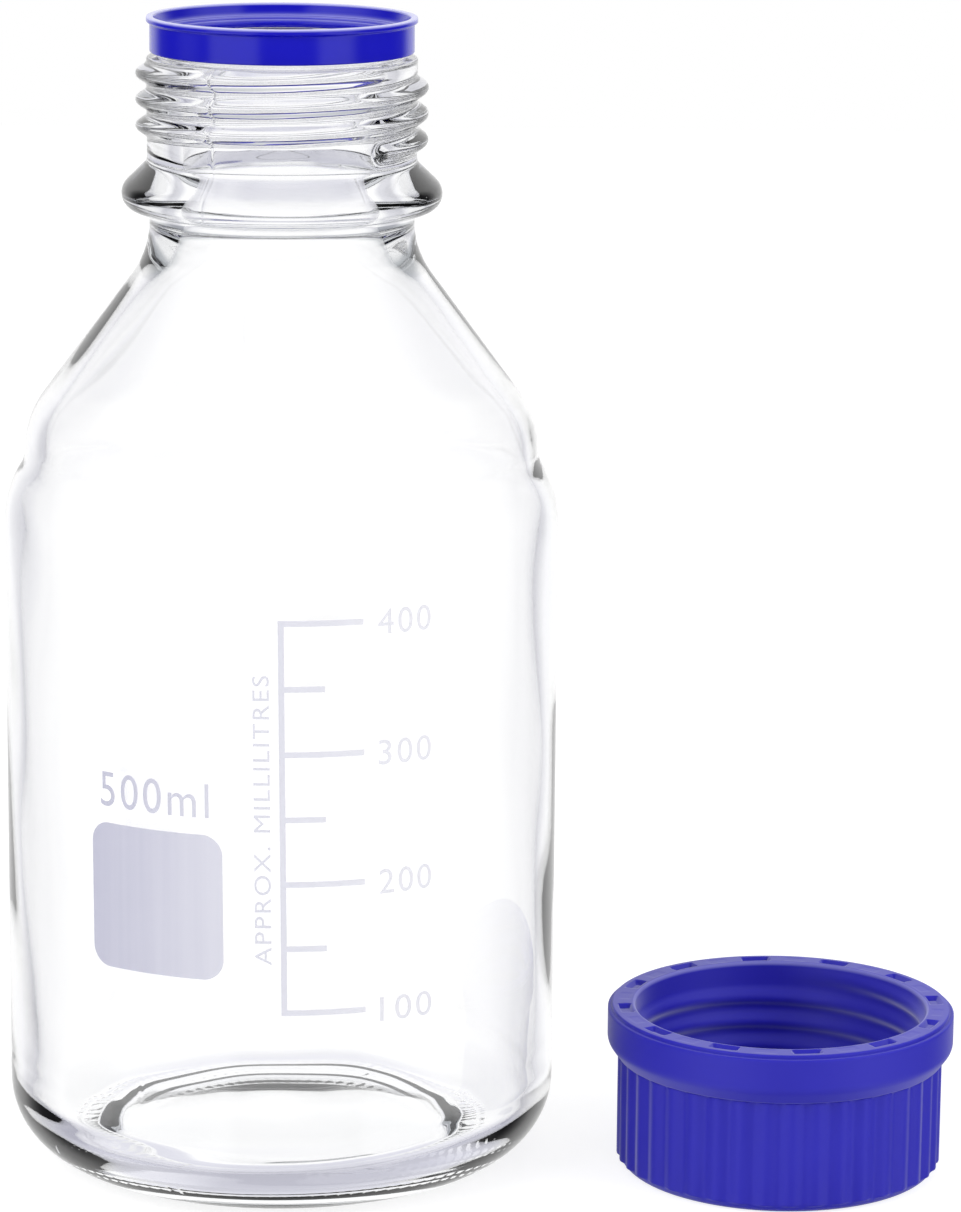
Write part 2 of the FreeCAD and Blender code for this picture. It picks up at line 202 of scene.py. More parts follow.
def rounded_profile(corners: list[tuple[float, ...]], step: float, closed: bool = False) -> np.ndarray:
    """Draws an outline from its corners, with an arc at each rounded one.

    The arc touches both sides of its corner: it starts and ends radius / tan(half the corner's
    angle) from the corner, and its centre is radius / sin(half angle) away along the bisector.

    Args:
        corners: A radius and a height for each corner, and the radius of its rounding if it has one.
        step: The longest stretch between two points of the outline.
        closed: If the outline comes back to its first corner.

    Returns:
        Points as radius and height, in rows.
    """
    places = np.array([corner[:2] for corner in corners], float)
    pieces = []
    for index, corner in enumerate(corners):
        is_end = not closed and index in (0, len(corners) - 1)
        if len(corner) == 2 or is_end:
            pieces.append(places[index:index + 1])
            continue
        back = places[index - 1] - places[index]
        ahead = places[(index + 1) % len(corners)] - places[index]
        back, ahead = back / np.linalg.norm(back), ahead / np.linalg.norm(ahead)
        half_angle = math.acos(float(np.clip(back @ ahead, -1.0, 1.0))) / 2.0
        bisector = (back + ahead) / np.linalg.norm(back + ahead)
        centre = places[index] + bisector * corner[2] / math.sin(half_angle)
        start = places[index] + back * corner[2] / math.tan(half_angle) - centre
        end = places[index] + ahead * corner[2] / math.tan(half_angle) - centre
        first = math.atan2(start[1], start[0])
        sweep = (math.atan2(end[1], end[0]) - first + math.pi) % FULL_TURN - math.pi
        angles = first + sweep * np.linspace(0.0, 1.0, max(5, math.ceil(abs(sweep) * corner[2] / step)))
        pieces.append(centre + corner[2] * np.stack([np.cos(angles), np.sin(angles)], axis=1))
    outline = np.concatenate(pieces + [pieces[0][:1]] if closed else pieces)
    return refine(outline, step)[:-1] if closed else refine(outline, step)


def refine(outline: np.ndarray, step: float) -> np.ndarray:
    """Adds points on the long sides of an outline and keeps those that it has.

    Args:
        outline: Points as radius and height, in rows.
        step: The longest stretch between two points.

    Returns:
        The finer outline.
    """
    lengths = np.linalg.norm(np.diff(outline, axis=0), axis=1)
    reached = np.concatenate([[0.0], np.cumsum(lengths)])
    divisions = np.maximum(1, np.ceil(lengths / step)).astype(int)
    first = np.repeat(reached[:-1], divisions)
    pitch = np.repeat(lengths / divisions, divisions)
    count = np.arange(divisions.sum()) - np.repeat(np.cumsum(divisions) - divisions, divisions)
    along = np.append(first + count * pitch, reached[-1])
    return np.stack([np.interp(along, reached, outline[:, axis]) for axis in (0, 1)], axis=1)


def helix_bump(azimuth: np.ndarray, height: np.ndarray, radius: float, thread: "Thread") -> np.ndarray:
    """Works out how far a thread's ridge stands up at each place on a cylinder.

    The ridge's middle climbs one pitch a turn. A place's distance from it is the root of the
    squares of how far it lies above the nearest turn and how far it lies past the ridge's end. The
    ridge's height falls from its crest to nought as a squashed bell of that distance, and it rises
    from nought over the run-out at each end.

    Args:
        azimuth: The angle of each place about the axis, in radians.
        height: The height of each place.
        radius: The cylinder's radius.
        thread: The thread's sizes.

    Returns:
        The ridge's height at each place.
    """
    turned = (azimuth - math.radians(thread.start_angle)) / FULL_TURN
    turn = turned + np.round((height - thread.start_height) / thread.pitch - turned)
    on_ridge = np.clip(turn, 0.0, thread.turns)
    above = height - thread.start_height - thread.pitch * on_ridge
    past_end = (turn - on_ridge) * FULL_TURN * radius
    share = np.clip(np.hypot(above, past_end) / thread.half_width, 0.0, 1.0)
    first, last = thread.run_out
    ends = smooth_step(-TINY, first, on_ridge) * smooth_step(-TINY, last, thread.turns - on_ridge)
    return thread.depth * ends * (1.0 - share ** thread.bluntness) ** 2


def add_mesh(name: str, points: np.ndarray, quads: np.ndarray, triangles: np.ndarray) -> bpy.types.Object:
    """Makes an object of a mesh with smooth faces.

    Args:
        name: The piece's name.
        points: Places in millimetres, in rows.
        quads: Four point numbers a row.
        triangles: Three point numbers a row.

    Returns:
        The object, at the origin.
    """
    mesh = bpy.data.meshes.new(name)
    corners = np.concatenate([quads.ravel(), triangles.ravel()]).astype(np.int32)
    sides = np.concatenate([np.full(len(quads), 4), np.full(len(triangles), 3)])
    starts = np.concatenate([[0], np.cumsum(sides)[:-1]]).astype(np.int32)
    mesh.vertices.add(len(points))
    mesh.vertices.foreach_set("co", (points * MM).astype(np.float32).ravel())
    mesh.loops.add(len(corners))
    mesh.loops.foreach_set("vertex_index", corners)
    mesh.polygons.add(len(sides))
    mesh.polygons.foreach_set("loop_start", starts)
    mesh.polygons.foreach_set("use_smooth", np.ones(len(sides), bool))
    mesh.update(calc_edges=True)
    mesh.validate()
    piece = bpy.data.objects.new(name, mesh)
    bpy.context.scene.collection.objects.link(piece)
    return piece


def turned_surface(name: str, radius: np.ndarray, height: np.ndarray, azimuth: np.ndarray,
                   centre: tuple[float, float], ring: bool = False) -> bpy.types.Object:
    """Makes a closed surface turned about an upright axis.

    A point is (radius cos azimuth, radius sin azimuth, height) from the axis. Rows follow the
    outline, up the outside and down the inside, and columns go round, so the faces look outwards.

    Args:
        name: The piece's name.
        radius: The distance from the axis, by row and column.
        height: The height, by row and column.
        azimuth: The angle of each column, in radians.
        centre: Where the axis stands.
        ring: If the outline is a loop round the axis. Otherwise it starts and ends on the axis.

    Returns:
        The object.
    """
    x = centre[0] + radius * np.cos(azimuth)
    y = centre[1] + radius * np.sin(azimuth)
    points = np.stack([x, y, height + 0.0 * x], axis=-1)
    body = points if ring else points[1:-1]
    rows, columns = body.shape[:2]
    numbers = np.arange(rows * columns).reshape(rows, columns)
    lower = numbers if ring else numbers[:-1]
    upper = np.roll(numbers, -1, axis=0) if ring else numbers[1:]
    quads = np.stack([lower, np.roll(lower, -1, 1), np.roll(upper, -1, 1), upper], axis=-1).reshape(-1, 4)
    if ring:
        return add_mesh(name, body.reshape(-1, 3), quads, np.empty((0, 3), int))
    first, last = rows * columns, rows * columns + 1
    foot, top = numbers[0], numbers[-1]
    fans = [np.stack([np.full(columns, first), np.roll(foot, -1), foot], axis=1),
            np.stack([np.full(columns, last), top, np.roll(top, -1)], axis=1)]
    poles = points[[0, -1], 0]
    return add_mesh(name, np.concatenate([body.reshape(-1, 3), poles]), quads, np.concatenate(fans))


def mark_points(piece: bpy.types.Object, name: str, marks: np.ndarray, ring: bool = False) -> None:
    """Writes a number at each point of a turned piece, for its finish to read.

    Args:
        piece: The turned piece.
        name: What the number is called.
        marks: The number, by row and column, as for the turned surface.
        ring: If the outline is a loop round the axis.
    """
    by_point = marks.ravel() if ring else np.append(marks[1:-1].ravel(), marks[[0, -1], 0])
    layer = piece.data.attributes.new(name, "FLOAT", "POINT")
    layer.data.foreach_set("value", by_point.astype(np.float32))


def even_columns(count: int) -> np.ndarray:
    """Gives the azimuths of evenly spaced columns."""
    return np.arange(count) * FULL_TURN / count


@dataclass(frozen=True)
class Thread:
    """A screw thread's ridge: where it starts, how it climbs, stands up and runs out at its ends."""

    start_angle: float
    start_height: float
    turns: float
    depth: float
    half_width: float
    run_out: tuple[float, float]
    bluntness: float = 2.4
    pitch: float = 4.0


class Slot(Enum):
    """The record's material slots."""

    GLASS = "clear_glass"
    RING = "ring_plastic"
    CAP = "cap_plastic"
    PRINT = "enamel_print"


@dataclass(frozen=True)
class BorosilicateGlass:
    """Borosilicate glass, blown and fire-polished: clear, with a faint grey-green in thick places."""

    colour: str = "#FFFFFF"
    thick_colour: str = "#C8CBCF"
    density: float = 12.0
    ior: float = 1.474
    ripple_size: float = 9.0
    ripple_height: float = 0.02
    ripple_strength: float = 0.35

    def build(self) -> bpy.types.Material:
        """Makes the material: a clear shell whose glass takes up a little light by its depth.

        Returns:
            The material.
        """
        material, tree = start_material("borosilicate_glass")
        place = add_node(tree, "ShaderNodeTexCoord").outputs["Object"]
        ripple = add_noise(tree, place, self.ripple_size, 1.0)
        shell = add_node(tree, "ShaderNodeBsdfPrincipled", {
            "Base Color": linear(self.colour), "Roughness": 0.0, "IOR": self.ior,
            "Transmission Weight": 1.0,
            "Normal": add_bump(tree, ripple, self.ripple_strength, self.ripple_height),
        })
        depth = add_node(tree, "ShaderNodeVolumeAbsorption", {
            "Color": linear(self.thick_colour), "Density": self.density,
        })
        add_node(tree, "ShaderNodeOutputMaterial", {
            "Surface": shell.outputs["BSDF"], "Volume": depth.outputs["Volume"],
        })
        return material


@dataclass(frozen=True)
class MouldedPolypropylene:
    """Injection-moulded polypropylene: an even, slightly milky blue with a fine moulded skin."""

    name: str
    colour: str
    deep_colour: str
    roughness: float
    skin_height: float
    skin_size: float = 0.35
    skin_strength: float = 0.5
    unevenness: float = 0.12
    cloud_size: float = 14.0
    milkiness: float = 0.12
    milk_depth: float = 0.8
    milk_reach: tuple[float, float, float] = (0.4, 0.4, 1.0)
    polished_roughness: float = 0.3
    # The pale colour of the painted highlight that stands in for light on thin edges.
    edge_highlight_colour: str = "#B8B8EC"
    specular: float = 0.5
    ior: float = 1.49

    def build(self) -> bpy.types.Material:
        """Makes the material: clouds of slightly deeper colour, a painted highlight of pale colour on marked
        edges, and a fine skin on the gloss.

        Returns:
            The material.
        """
        material, tree = start_material(self.name)
        place = add_node(tree, "ShaderNodeTexCoord").outputs["Object"]
        clouds = add_noise(tree, place, self.cloud_size, 3.0)
        skin = add_noise(tree, place, self.skin_size)
        colour = mix_colours(tree, clouds, linear(self.deep_colour), linear(self.colour))
        # Painted highlight: where a piece marks its edges, the colour goes over to the pale highlight colour,
        # which stands in for light on them.
        thin = add_node(tree, "ShaderNodeAttribute", attribute_name="painted_edge_highlight")
        edged = mix_colours(tree, thin.outputs["Fac"], colour, linear(self.edge_highlight_colour))
        spread = self.roughness * self.unevenness
        gloss = add_node(tree, "ShaderNodeMapRange", {
            "Value": clouds, "To Min": self.roughness - spread, "To Max": self.roughness + spread,
        })
        polish = add_node(tree, "ShaderNodeAttribute", attribute_name="polish")
        finish = add_node(tree, "ShaderNodeMix", {
            0: polish.outputs["Fac"], 2: gloss.outputs["Result"], 3: self.polished_roughness,
        })
        shell = add_node(tree, "ShaderNodeBsdfPrincipled", {
            "Base Color": edged, "Roughness": finish.outputs[0], "IOR": self.ior,
            "Specular IOR Level": self.specular, "Subsurface Weight": self.milkiness,
            "Subsurface Scale": self.milk_depth * MM, "Subsurface Radius": self.milk_reach,
            "Normal": add_bump(tree, skin, self.skin_strength, self.skin_height),
        })
        add_node(tree, "ShaderNodeOutputMaterial", {"Surface": shell.outputs["BSDF"]})
        return material


@dataclass(frozen=True)
class FiredEnamel:
    """White enamel, screened on and fired: a thin matt coat that lets a little light through."""

    # The colours run from darker to lighter as painted light that grows lighter to the right; reach is the
    # span across the object, in millimetres, over which it grows.
    colours: tuple[tuple[float, str], ...] = ((0.06, "#A8A8C2"), (0.50, "#D0D0DE"), (0.95, "#E2E2EA"))
    reach: tuple[float, float] = (-33.0, 25.0)
    streak_width: float = 1.6
    streak_length: float = 40.0
    streak_strength: float = 0.16
    grain_size: float = 0.12
    grain_height: float = 0.01
    grain_strength: float = 0.3
    roughness: float = 0.55
    ior: float = 1.5
    cover: float = 0.86

    def build(self) -> bpy.types.Material:
        """Makes the material: a coat with faint upright streaks and a fine grain, and painted light that
        makes it lighter to the right.

        Returns:
            The material.
        """
        material, tree = start_material("fired_enamel")
        place = add_node(tree, "ShaderNodeTexCoord").outputs["Object"]
        stretched = add_node(tree, "ShaderNodeMapping", {
            "Vector": place, "Scale": (1.0, 1.0, 1.0 / self.streak_length),
        })
        streaks = add_noise(tree, stretched.outputs["Vector"], self.streak_width)
        grain = add_noise(tree, place, self.grain_size)
        split = add_node(tree, "ShaderNodeSeparateXYZ", {"Vector": place})
        # Painted light: the share along reach makes the print lighter towards the right, as the light falls
        # on it.
        along = add_node(tree, "ShaderNodeMapRange", {
            "Value": split.outputs["X"], "From Min": self.reach[0] * MM, "From Max": self.reach[1] * MM,
        })
        streaks_and_painted_light = add_node(tree, "ShaderNodeMath", {
            0: streaks, 1: self.streak_strength, 2: along.outputs["Result"],
        }, operation="MULTIPLY_ADD")
        colour = add_ramp(tree, streaks_and_painted_light.outputs["Value"], self.colours)
        coat = add_node(tree, "ShaderNodeBsdfPrincipled", {
            "Base Color": colour, "Roughness": self.roughness, "IOR": self.ior,
            "Alpha": self.cover, "Normal": add_bump(tree, grain, self.grain_strength, self.grain_height),
        })
        add_node(tree, "ShaderNodeOutputMaterial", {"Surface": coat.outputs["BSDF"]})
        return material


def dress(piece: bpy.types.Object, material: bpy.types.Material, slot: Slot, *nodes: str) -> None:
    """Gives a piece its finish and its body, and hides the nodes that it stands for.

    Args:
        piece: The new piece.
        material: Its finish.
        slot: The record's material slot; not used.
        nodes: The nodes that it replaces.
    """
    piece.data.materials.append(material)
    if nodes:
        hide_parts(*nodes)
    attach(piece, "root")


@dataclass
class GlassBottle:
    """The glass: foot, body, stepped shoulder, neck, collar, screw thread and rim, in one piece."""

    node: str = "media_bottle"
    body_radius: float = 43.0
    wall: float = 2.8
    heel_round: float = 12.0
    foot_inner: float = 27.6
    foot_round: float = 0.8
    base_thickness: float = 4.0
    floor_foot: tuple[float, float, float] = (29.8, 4.0, 5.0)
    floor_rim: tuple[float, float, float] = (27.4, 5.2, 4.0)
    floor_top: float = 6.4
    pushup_height: float = 3.6
    pushup_round: float = 120.0
    pushup_rim: tuple[float, float, float] = (25.6, 1.9, 1.4)
    bulge: tuple[float, float, float] = (43.0, 106.0, 15.0)
    crease: tuple[float, float, float] = (39.7, 111.3, 6.0)
    cone_foot: tuple[float, float, float] = (39.7, 117.4, 13.0)
    cone_top: tuple[float, float, float] = (20.3, 143.7, 14.0)
    collar_foot: tuple[float, float, float] = (20.3, 149.6, 0.9)
    collar_low: tuple[float, float, float] = (24.6, 150.3, 2.5)
    collar_high: tuple[float, float, float] = (24.6, 153.6, 2.6)
    collar_top: tuple[float, float, float] = (20.7, 157.4, 1.4)
    finish_radius: float = 20.7
    finish_top: float = 173.3
    finish_round: float = 0.3
    groove_radius: float = 18.7
    groove_round: float = 0.2
    groove_height: float = 1.0
    groove_slope: float = 0.4
    rim_radius: float = 19.3
    rim_round: float = 0.5
    bore_radius: float = 15.0
    bore_foot: tuple[float, float, float] = (15.0, 146.2, 16.8)
    bore_lip: float = 0.8
    thread: Thread = Thread(317.0, 160.3, turns=3.14, depth=1.7, half_width=1.75, run_out=(0.0, 0.32))
    seams: tuple[tuple[float, float], ...] = ((-118.8, 1.0), (61.2, 0.5))
    seam_height: float = 0.2
    seam_half_width: float = 0.3
    seam_spread: float = 1.6
    seam_columns: int = 13
    seam_fade: tuple[float, float, float] = (0.04, 0.16, 0.8)
    seam_wander: tuple[float, float] = (0.25, 2.3)
    seam_start: tuple[float, float] = (6.0, 16.0)
    knurl_count: int = 100
    knurl_height: float = 0.22
    knurl_edge: float = 0.4
    knurl_rows: tuple[tuple[float, float], ...] = ((28.9, 30.2), (30.6, 31.9), (32.3, 33.6))
    unevenness: float = 0.10
    wall_waves: tuple[tuple[float, float, float, float], ...] = (
        (1.0, 3.0, 17.0, 0.4), (0.6, 7.0, -11.0, 2.0), (0.35, 13.0, 6.5, 0.0),
    )
    heel_rings: tuple[float, float, float, float] = (0.8, 1.5, 7.0, 24.0)
    calm_floor: tuple[float, float] = (5.0, 30.0)
    calm_rim: tuple[float, float] = (6.0, 2.0)
    outer_step: float = 0.45
    inner_step: float = 1.6
    columns: int = 300

    def outside(self, top: float) -> list[tuple[float, ...]]:
        """Lists the corners of the outside, from the middle of the foot to the rim.

        Args:
            top: The rim's height.

        Returns:
            A radius, a height and the radius of the rounding for each corner.
        """
        return [
            (0.0, self.pushup_height), (self.pushup_rim[0] / 2.0, self.pushup_height, self.pushup_round),
            self.pushup_rim, (self.foot_inner, 0.0, self.foot_round),
            (self.body_radius, 0.0, self.heel_round), self.bulge, self.crease, self.cone_foot,
            self.cone_top, self.collar_foot, self.collar_low, self.collar_high, self.collar_top,
            (self.finish_radius, self.finish_top, self.finish_round),
            (self.groove_radius, self.finish_top, self.groove_round),
            (self.groove_radius, self.finish_top + self.groove_height),
            (self.rim_radius, self.finish_top + self.groove_height + self.groove_slope),
            (self.rim_radius, top, self.rim_round), (self.bore_radius + self.bore_lip, top),
        ]

    def inside(self, top: float) -> list[tuple[float, ...]]:
        """Lists the corners of the inside, from the rim down to the middle of the floor.

        The inner corners lie a wall inside the outer ones, and lower by wall * tan(half the lean).

        Args:
            top: The rim's height.

        Returns:
            The corners, as for the outside.
        """
        wall = self.wall
        bulge_lean = math.atan2(self.bulge[0] - self.crease[0], self.crease[1] - self.bulge[1])
        cone_lean = math.atan2(self.cone_foot[0] - self.cone_top[0], self.cone_top[1] - self.cone_foot[1])
        bulge_drop, cone_drop = wall * math.tan(0.5 * bulge_lean), wall * math.tan(0.5 * cone_lean)
        return [
            (self.bore_radius + self.bore_lip, top),
            (self.bore_radius, top - self.bore_lip, self.bore_lip), self.bore_foot,
            (self.cone_foot[0] - wall, self.cone_foot[1] - cone_drop, self.cone_foot[2] - wall),
            (self.crease[0] - wall, self.crease[1] - bulge_drop, self.crease[2] + wall),
            (self.bulge[0] - wall, self.bulge[1] - bulge_drop, self.bulge[2] - wall),
            (self.body_radius - wall, self.base_thickness, self.heel_round - wall),
            self.floor_foot, self.floor_rim,
            (self.floor_rim[0] / 2.0, self.floor_top, self.pushup_round), (0.0, self.floor_top),
        ]

    def thin_outside(self, fine: np.ndarray) -> np.ndarray:
        """Drops points of the outside where its form is plain.

        Args:
            fine: The finely divided outline, as radius and height in rows.

        Returns:
            The outline with all its points in the neck, each second one at the crease, under the
            foot and at the rim, and each eighth elsewhere.
        """
        radius, height = fine[:, 0], fine[:, 1]
        number = np.arange(len(fine))
        at_rim = height > self.finish_top - 0.1
        in_neck = (height > self.collar_foot[1]) & (radius > self.groove_radius) & ~at_rim
        at_crease = np.abs(height - self.crease[1] + 0.3) < self.crease[2] / 2.0
        under_foot = (height < 2.5) & (radius > 24.0) & (radius < 35.0)
        each_second = (at_crease | under_foot | at_rim) & (number % 2 == 0)
        return fine[in_neck | each_second | (number % 8 == 0)]

    def round_columns(self) -> np.ndarray:
        """Gives the azimuths of the columns: evenly spaced, and closer together at the mould seams.

        Returns:
            The azimuths in rising order, in radians.
        """
        azimuth = even_columns(self.columns)
        spread = math.radians(self.seam_spread)
        for angle, _ in self.seams:
            seam = math.radians(angle) % FULL_TURN
            near = seam + np.linspace(-spread, spread, self.seam_columns)
            azimuth = np.concatenate([azimuth[np.abs(azimuth - seam) > spread], near])
        return np.sort(azimuth)

    def raised(self, radius: np.ndarray, height: np.ndarray, azimuth: np.ndarray) -> np.ndarray:
        """Works out how far the outside stands off its turned form: thread and mould seams.

        A seam is a bell across the azimuth, height / (1 + (distance / half width)²)², whose middle
        wanders as a sine of the height. It is faint on the body and grows over the bead and the thread.

        Args:
            radius: The outline's radius, in rows.
            height: The outline's height, in rows.
            azimuth: The angle of each column, in radians.

        Returns:
            The distance outwards, by row and column.
        """
        on_finish = (radius > self.finish_radius - 0.1) & (height > self.collar_top[1] - 1.0)
        thread = helix_bump(azimuth, height, self.finish_radius, self.thread) * on_finish
        on_body, more_on_bead, more_on_thread = self.seam_fade
        on_bead = smooth_step(self.collar_foot[1] - 1.0, self.collar_low[1], height)
        on_thread = smooth_step(self.thread.start_height - 2.0, self.thread.start_height, height)
        fade = on_body + more_on_bead * on_bead + more_on_thread * on_thread
        end = 1.0 - smooth_step(self.finish_top - 1.5, self.finish_top - 0.3, height)
        wander, wave = self.seam_wander
        seams = np.zeros(np.broadcast(radius, azimuth).shape)
        for angle, strength in self.seams:
            away = (azimuth - math.radians(angle) + math.pi) % FULL_TURN - math.pi
            share = (away * radius + wander * np.sin(height / wave + angle)) / self.seam_half_width
            seams += strength * self.seam_height / (1.0 + share ** 2) ** 2
        return thread + seams * fade * end * smooth_step(*self.seam_start, height)

    def knurl(self, radius: np.ndarray, azimuth: np.ndarray) -> np.ndarray:
        """Works out the short radial bars under the foot: a cosine round, times a bell across each row.

        Args:
            radius: The outline's radius, in rows.
            azimuth: The angle of each column, in radians.

        Returns:
            The bars' height, by row and column.
        """
        bars = 0.5 + 0.5 * np.cos(self.knurl_count * azimuth)
        edge = self.knurl_edge
        across = sum(smooth_step(low, low + edge, radius) * (1.0 - smooth_step(high - edge, high, radius))
                     for low, high in self.knurl_rows)
        return self.knurl_height * across * bars

    def waves(self, azimuth: np.ndarray, height: np.ndarray) -> np.ndarray:
        """Works out the blown wall's slow unevenness, as a few sines round and up the inside.

        A wave has a strength, a count round the wall, the height that it climbs by in a radian, and a
        start. Over the heel a quicker sine of the height makes the rings that the mould leaves there.

        Args:
            azimuth: The angle of each column, in radians.
            height: The outline's height, in rows.

        Returns:
            The distance outwards, by row and column.
        """
        slow = sum(strength * np.sin(count * azimuth + height / climb + start)
                   for strength, count, climb, start in self.wall_waves)
        strength, quickness, low, high = self.heel_rings
        rings = np.sin(quickness * (height + np.sin(2.0 * azimuth)))
        return self.unevenness * (slow + strength * rings * (1.0 - smooth_step(low, high, height)))

    def build(self, material: bpy.types.Material) -> bpy.types.Object:
        """Makes the glass as one closed surface and dresses it.

        Args:
            material: The glass.

        Returns:
            The piece.
        """
        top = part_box(self.node)[1][2] / MM
        azimuth = self.round_columns()
        outer = self.thin_outside(rounded_profile(self.outside(top), self.outer_step))
        inner = rounded_profile(self.inside(top), self.inner_step)[1:]
        in_heel = inner[:, 1] < self.heel_rings[3] + 2.0
        inner = inner[in_heel | (np.arange(len(inner)) % 2 == 0)]
        radius = np.concatenate([outer[:, 0], inner[:, 0]])[:, None]
        height = np.concatenate([outer[:, 1], inner[:, 1]])[:, None]
        is_outer = np.arange(len(radius))[:, None] < len(outer)
        lift = self.raised(radius, height, azimuth) * is_outer * (radius > self.rim_radius + 0.1)
        in_rim = smooth_step(top - self.calm_rim[0], top - self.calm_rim[1], height)
        calm = smooth_step(*self.calm_floor, radius) * (1.0 - in_rim)
        ripple = self.waves(azimuth, height) * ~is_outer * calm
        dent = self.knurl(radius, azimuth) * is_outer * (height < 1.5)
        piece = turned_surface("glass_bottle", radius + lift + ripple, height + dent, azimuth, (0.0, 0.0))
        dress(piece, material, Slot.GLASS, self.node)
        return piece


@dataclass
class PouringRing:
    """The pouring ring: a skirt on the rim, a thin flange, and a funnel with two low steps."""

    node: str = "pouring_ring"
    skirt_radius: float = 20.2
    flange_radius: float = 20.7
    flange_height: float = 0.8
    lip_width: float = 1.0
    funnel_depth: float = 1.9
    funnel_slope: float = 0.8
    throat_radius: float = 16.3
    rim_radius: float = 19.45
    snap_radius: float = 18.85
    snap_foot: float = 0.7
    snap_top: float = 1.1
    rim_top: float = 176.0
    skirt_lift: float = 0.6
    step_width: float = 0.8
    step_slope: float = 0.2
    step_height: float = 0.35
    # The painted highlight on the steps' edges: its share of the pale colour, and its width.
    glow: float = 0.45
    edge_highlight_width: float = 0.14
    section_step: float = 0.3
    columns: int = 288

    def outline(self, foot: float, top: float) -> list[tuple[float, ...]]:
        """Lists the corners of the section, up the outside and down the inside.

        The skirt's foot is a little higher than the node's, as it is in the photograph.

        Args:
            foot: The height of the node's foot.
            top: The height of the lip.

        Returns:
            A radius, a height and the radius of the rounding for each corner.
        """
        skirt_foot, flange_foot = foot + self.skirt_lift, top - self.flange_height
        lip, (first, second, third) = self.flange_radius - self.lip_width, self.step_edges()
        level = [top - self.funnel_depth - step * self.step_height for step in range(3)]
        return [
            (self.snap_radius, skirt_foot, 0.08), (self.skirt_radius, skirt_foot, 0.2),
            (self.skirt_radius, flange_foot - 0.3, 0.2), (self.flange_radius, flange_foot, 0.25),
            (self.flange_radius, top, 0.2), (lip, top, 0.15),
            (first, level[0], 0.3), (first - self.step_width, level[0], 0.1),
            (second, level[1], 0.1), (second - self.step_width, level[1], 0.1),
            (third, level[2], 0.1), (self.throat_radius, level[2], 0.3),
            (self.throat_radius, self.rim_top, 0.1), (self.rim_radius, self.rim_top, 0.1),
            (self.rim_radius, foot + self.snap_top), (self.snap_radius, foot + self.snap_foot),
        ]

    def step_edges(self) -> tuple[float, float, float]:
        """Gives the radius at which the funnel's floor and each of its two steps start.

        Returns:
            The three radii, from the outside in.
        """
        first = self.flange_radius - self.lip_width - self.funnel_slope
        second = first - self.step_width - self.step_slope
        return first, second, second - self.step_width - self.step_slope

    def painted_edge_highlights(self, radius: np.ndarray, height: np.ndarray, top: float) -> np.ndarray:
        """Marks the lip and the edges of the steps for a painted highlight: pale colour that stands in for
        light coming through the thin plastic there.

        The lip's mark rises over its last tenths of a millimetre. A step's is a bell over the radius.

        Args:
            radius: The section's radius, by row and column.
            height: The section's height, in rows.
            top: The height of the lip.

        Returns:
            The share of the pale colour, by row and column.
        """
        on_lip = radius > self.flange_radius - self.lip_width - 0.1
        lip = smooth_step(top - 0.3, top - 0.1, height) * on_lip
        first, second, _ = self.step_edges()
        edges = (first, first - self.step_width, second - self.step_width)
        steps = sum(np.exp(-((radius - edge) / self.edge_highlight_width) ** 2) for edge in edges)
        return np.maximum(lip, self.glow * steps * (height > self.rim_top + 0.3))

    def build(self, material: bpy.types.Material) -> bpy.types.Object:
        """Makes the ring as one closed loop turned about the neck's axis.

        Args:
            material: The ring's plastic.

        Returns:
            The piece.
        """
        low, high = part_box(self.node)
        corners = self.outline(low[2] / MM, high[2] / MM)
        section = rounded_profile(corners, self.section_step, closed=True)
        azimuth = even_columns(self.columns)
        radius = section[:, :1] + 0.0 * azimuth
        piece = turned_surface("blue_pouring_ring", radius, section[:, 1:], azimuth, (0.0, 0.0), ring=True)
        # Painted highlight: the lip and the steps' edges get the pale colour.
        mark_points(piece, "painted_edge_highlight", self.painted_edge_highlights(radius, section[:, 1:], high[2] / MM), ring=True)
        dress(piece, material, Slot.RING, self.node)
        return piece


